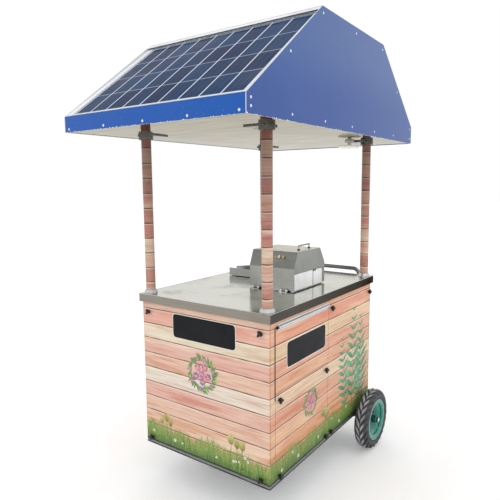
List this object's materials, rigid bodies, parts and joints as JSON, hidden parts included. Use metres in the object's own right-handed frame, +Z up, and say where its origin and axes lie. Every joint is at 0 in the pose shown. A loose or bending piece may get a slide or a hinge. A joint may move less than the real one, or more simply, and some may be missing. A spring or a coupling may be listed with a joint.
{
  "type": "electric sugarcane juicer",
  "caption": "Electric sugarcane juicer cart with a roller mill under a steel hood, printed plank cabinet, round posts and a blue canopy with a solar panel",
  "frame": {"origin": "on the ground under the canopy's centre", "axes": "+Z up, -Y the customer's front, +X the side with the flap"},
  "size_m": [1.05, 1.754, 2.343],
  "materials": {
    "plank_print": "printed planks on composite sheet",
    "blue_sheet": "glossy blue composite sheet",
    "white_sheet": "white composite sheet",
    "ceiling_gloss": "pale reflective sheet",
    "stainless": "brushed",
    "mill_steel": "machined",
    "hinge_steel": "bright",
    "zinc_sheet": "zinc plated",
    "dark_frame": "dark satin paint",
    "post_wrap": "printed plank wrap on steel tube",
    "flange_metal": "pale satin paint",
    "black_knob": "matte black",
    "solar_aluminium": "anodised",
    "solar_cells": "blue cells under glass",
    "lamp_white": "white",
    "yellow_plastic": "yellow",
    "white_plastic": "white",
    "bronze": "plain bronze",
    "gear_iron": "oiled",
    "motor_paint": "grey paint",
    "battery_case": "black",
    "controller_case": "dark grey",
    "tyre_rubber": "black rubber",
    "rim_paint": "turquoise paint",
    "castor_zinc": "zinc plated",
    "castor_tread": "dark grey rubber"
  },
  "bodies": {
    "cart": {"lower_frame": "dark_frame", "upper_frame": "dark_frame", "floor_pan": "zinc_sheet", "counter_top": "stainless", "front_panel": "plank_print", "left_panel": "plank_print", "rear_panel": "plank_print", "right_surround": "plank_print", "right_lower_panel": "plank_print", "right_rear_panel": "plank_print", "panel_knobs": "black_knob", "flap_hinge": "hinge_steel", "posts": "post_wrap", "post_flanges": "flange_metal", "post_heads": "flange_metal", "canopy_frame": "zinc_sheet", "ceiling_sheet": "ceiling_gloss", "front_fascia": "blue_sheet", "left_gable": "blue_sheet", "right_gable": "blue_sheet", "slope_sheet": "white_sheet", "roof_skin": "blue_sheet", "solar_frame": "solar_aluminium", "solar_laminate": "solar_cells", "ceiling_lamp": "lamp_white", "hood_hinges": "hinge_steel", "mill_base": "mill_steel", "bearing_plates": "mill_steel", "bearing_bushes": "bronze", "tie_rods": "mill_steel", "gear_motor": "motor_paint", "juice_tray": "stainless", "feed_chute": "stainless", "battery_pack": "battery_case", "charge_controller": "controller_case", "push_handle": "hinge_steel", "axle_beam": "dark_frame", "castor_plates": "castor_zinc"},
    "left_wheel": {"left_tyre": "tyre_rubber", "left_rim": "rim_paint"},
    "right_wheel": {"right_tyre": "tyre_rubber", "right_rim": "rim_paint"},
    "left_castor": {"left_fork": "castor_zinc"},
    "right_castor": {"right_fork": "castor_zinc"},
    "left_castor_roll": {"left_castor_wheel": "castor_tread"},
    "right_castor_roll": {"right_castor_wheel": "castor_tread"},
    "flap": {"side_flap": "plank_print", "flap_leaf": "hinge_steel"},
    "hood_cover": {"hood": "stainless", "pilot_lamp": "yellow_plastic"},
    "husk_gate": {"husk_flap": "stainless"},
    "start_push": {"start_button": "white_plastic"},
    "stop_push": {"stop_button": "yellow_plastic"},
    "top_mill": {"top_roller": "mill_steel", "top_gear": "gear_iron", "shaft_coupling": "mill_steel"},
    "left_mill": {"left_roller": "mill_steel", "left_gear": "gear_iron"},
    "right_mill": {"right_roller": "mill_steel", "right_gear": "gear_iron"}
  },
  "joints": [
    {"name": "left_wheel_spin", "type": "hinge", "parent": "cart", "child": "left_wheel", "pos_m": [-0.474, 0.458, 0.177], "axis": [1, 0, 0], "continuous": true},
    {"name": "right_wheel_spin", "type": "hinge", "parent": "cart", "child": "right_wheel", "pos_m": [0.474, 0.458, 0.177], "axis": [1, 0, 0], "continuous": true},
    {"name": "left_castor_swivel", "type": "hinge", "parent": "cart", "child": "left_castor", "pos_m": [-0.2, -0.267, 0.17], "axis": [0, 0, 1], "continuous": true},
    {"name": "right_castor_swivel", "type": "hinge", "parent": "cart", "child": "right_castor", "pos_m": [0.2, -0.267, 0.17], "axis": [0, 0, 1], "continuous": true},
    {"name": "left_castor_spin", "type": "hinge", "parent": "left_castor", "child": "left_castor_roll", "pos_m": [-0.2, -0.229, 0.075], "axis": [1, 0, 0], "continuous": true},
    {"name": "right_castor_spin", "type": "hinge", "parent": "right_castor", "child": "right_castor_roll", "pos_m": [0.2, -0.229, 0.075], "axis": [1, 0, 0], "continuous": true},
    {"name": "flap_swing", "type": "hinge", "parent": "cart", "child": "flap", "pos_m": [0.4063, -0.233, 0.9565], "axis": [0, -1, 0], "range_deg": [0, 100]},
    {"name": "hood_tilt", "type": "hinge", "parent": "cart", "child": "hood_cover", "pos_m": [0.1175, -0.107, 1.039], "axis": [1, 0, 0], "range_deg": [0, 90]},
    {"name": "husk_swing", "type": "hinge", "parent": "hood_cover", "child": "husk_gate", "pos_m": [0.2643, 0.1535, 1.1195], "axis": [0, -1, 0], "range_deg": [0, 80]},
    {"name": "top_roller_turn", "type": "hinge", "parent": "cart", "child": "top_mill", "pos_m": [0.118, 0.1535, 1.13123], "axis": [0, 1, 0], "continuous": true},
    {"name": "left_roller_turn", "type": "hinge", "parent": "cart", "child": "left_mill", "pos_m": [0.078, 0.1535, 1.08], "axis": [0, 1, 0], "continuous": true},
    {"name": "right_roller_turn", "type": "hinge", "parent": "cart", "child": "right_mill", "pos_m": [0.158, 0.1535, 1.08], "axis": [0, 1, 0], "continuous": true},
    {"name": "start_press", "type": "slide", "parent": "hood_cover", "child": "start_push", "axis": [0, 0.9262, -0.377], "range_m": [0, 0.003], "stiffness_N_per_m": 300},
    {"name": "stop_press", "type": "slide", "parent": "hood_cover", "child": "stop_push", "axis": [0, 0.9262, -0.377], "range_m": [0, 0.003], "stiffness_N_per_m": 300}
  ],
  "couplings": [
    {"joint": "left_roller_turn", "follows": "top_roller_turn", "ratio": -1},
    {"joint": "right_roller_turn", "follows": "top_roller_turn", "ratio": -1}
  ]
}
